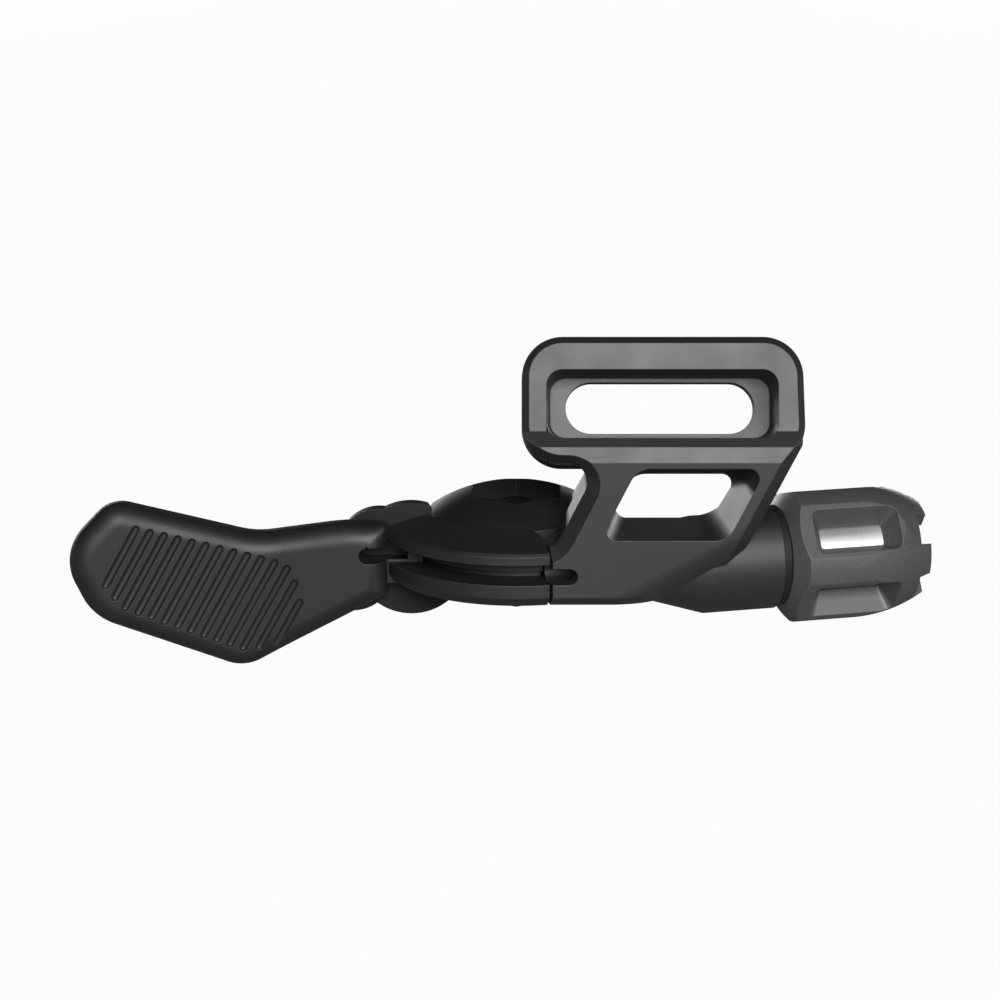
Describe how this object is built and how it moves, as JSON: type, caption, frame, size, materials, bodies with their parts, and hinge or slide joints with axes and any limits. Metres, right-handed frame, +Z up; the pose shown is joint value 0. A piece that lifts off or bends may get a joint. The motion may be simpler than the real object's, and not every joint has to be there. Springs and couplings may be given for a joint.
{
  "type": "dropper post remote lever",
  "caption": "Thumb lever on a sealed pivot that pulls a dropper post cable, with a slotted clamp bracket and a ribbed barrel adjuster.",
  "frame": {"origin": "middle of the clamp slot on the bracket's back face", "axes": "+X along the clamp slot towards the barrel adjuster, +Y away from the viewer of the picture, +Z up along the pivot axis"},
  "size_m": [0.0887, 0.0235, 0.0355],
  "materials": {
    "black_alloy": "matte black anodised alloy with a fine blasted grain",
    "lever_black": "satin black painted alloy",
    "bolt_black": "black oxide steel",
    "knob_black": "satin black moulded plastic",
    "bright_alloy": "bright turned alloy",
    "steel": "ground steel",
    "brass": "plain brass",
    "seal_rubber": "matte black rubber"
  },
  "bodies": {
    "bracket": {"bracket": "black_alloy", "pivot_bolt": "bolt_black", "pivot_spacer": "steel", "pivot_washer": "steel", "pivot_nut": "bolt_black", "bearing_inner_race": "steel", "bearing_balls": "steel", "adjuster_insert": "brass", "click_spring": "steel"},
    "lever": {"lever": "lever_black", "bearing_outer_race": "steel", "bearing_seals": "seal_rubber", "bearing_circlip": "steel", "cable_fixing_plate": "bolt_black", "cable_fixing_bolt": "bolt_black"},
    "click": {"click_washer": "knob_black"},
    "knob": {"adjuster_knob": "knob_black", "adjuster_stem": "bright_alloy", "dust_seal": "seal_rubber", "knob_ring": "steel"}
  },
  "joints": [
    {"name": "lever_pivot", "type": "hinge", "parent": "bracket", "child": "lever", "pos_m": [-0.0146, 0.00454, -0.01484], "axis": [0, 0, -1], "range_deg": [0, 28]},
    {"name": "adjuster_travel", "type": "slide", "parent": "bracket", "child": "click", "axis": [0.9703, 0.2419, 0], "range_m": [0, 0.004]},
    {"name": "knob_turn", "type": "hinge", "parent": "click", "child": "knob", "pos_m": [-0.01162, -0.00739, -0.01514], "axis": [0.9703, 0.2419, 0], "range_deg": [0, 1440]}
  ],
  "couplings": [
    {"joint": "knob_turn", "follows": "adjuster_travel", "rad_per_m": 6283.2}
  ]
}
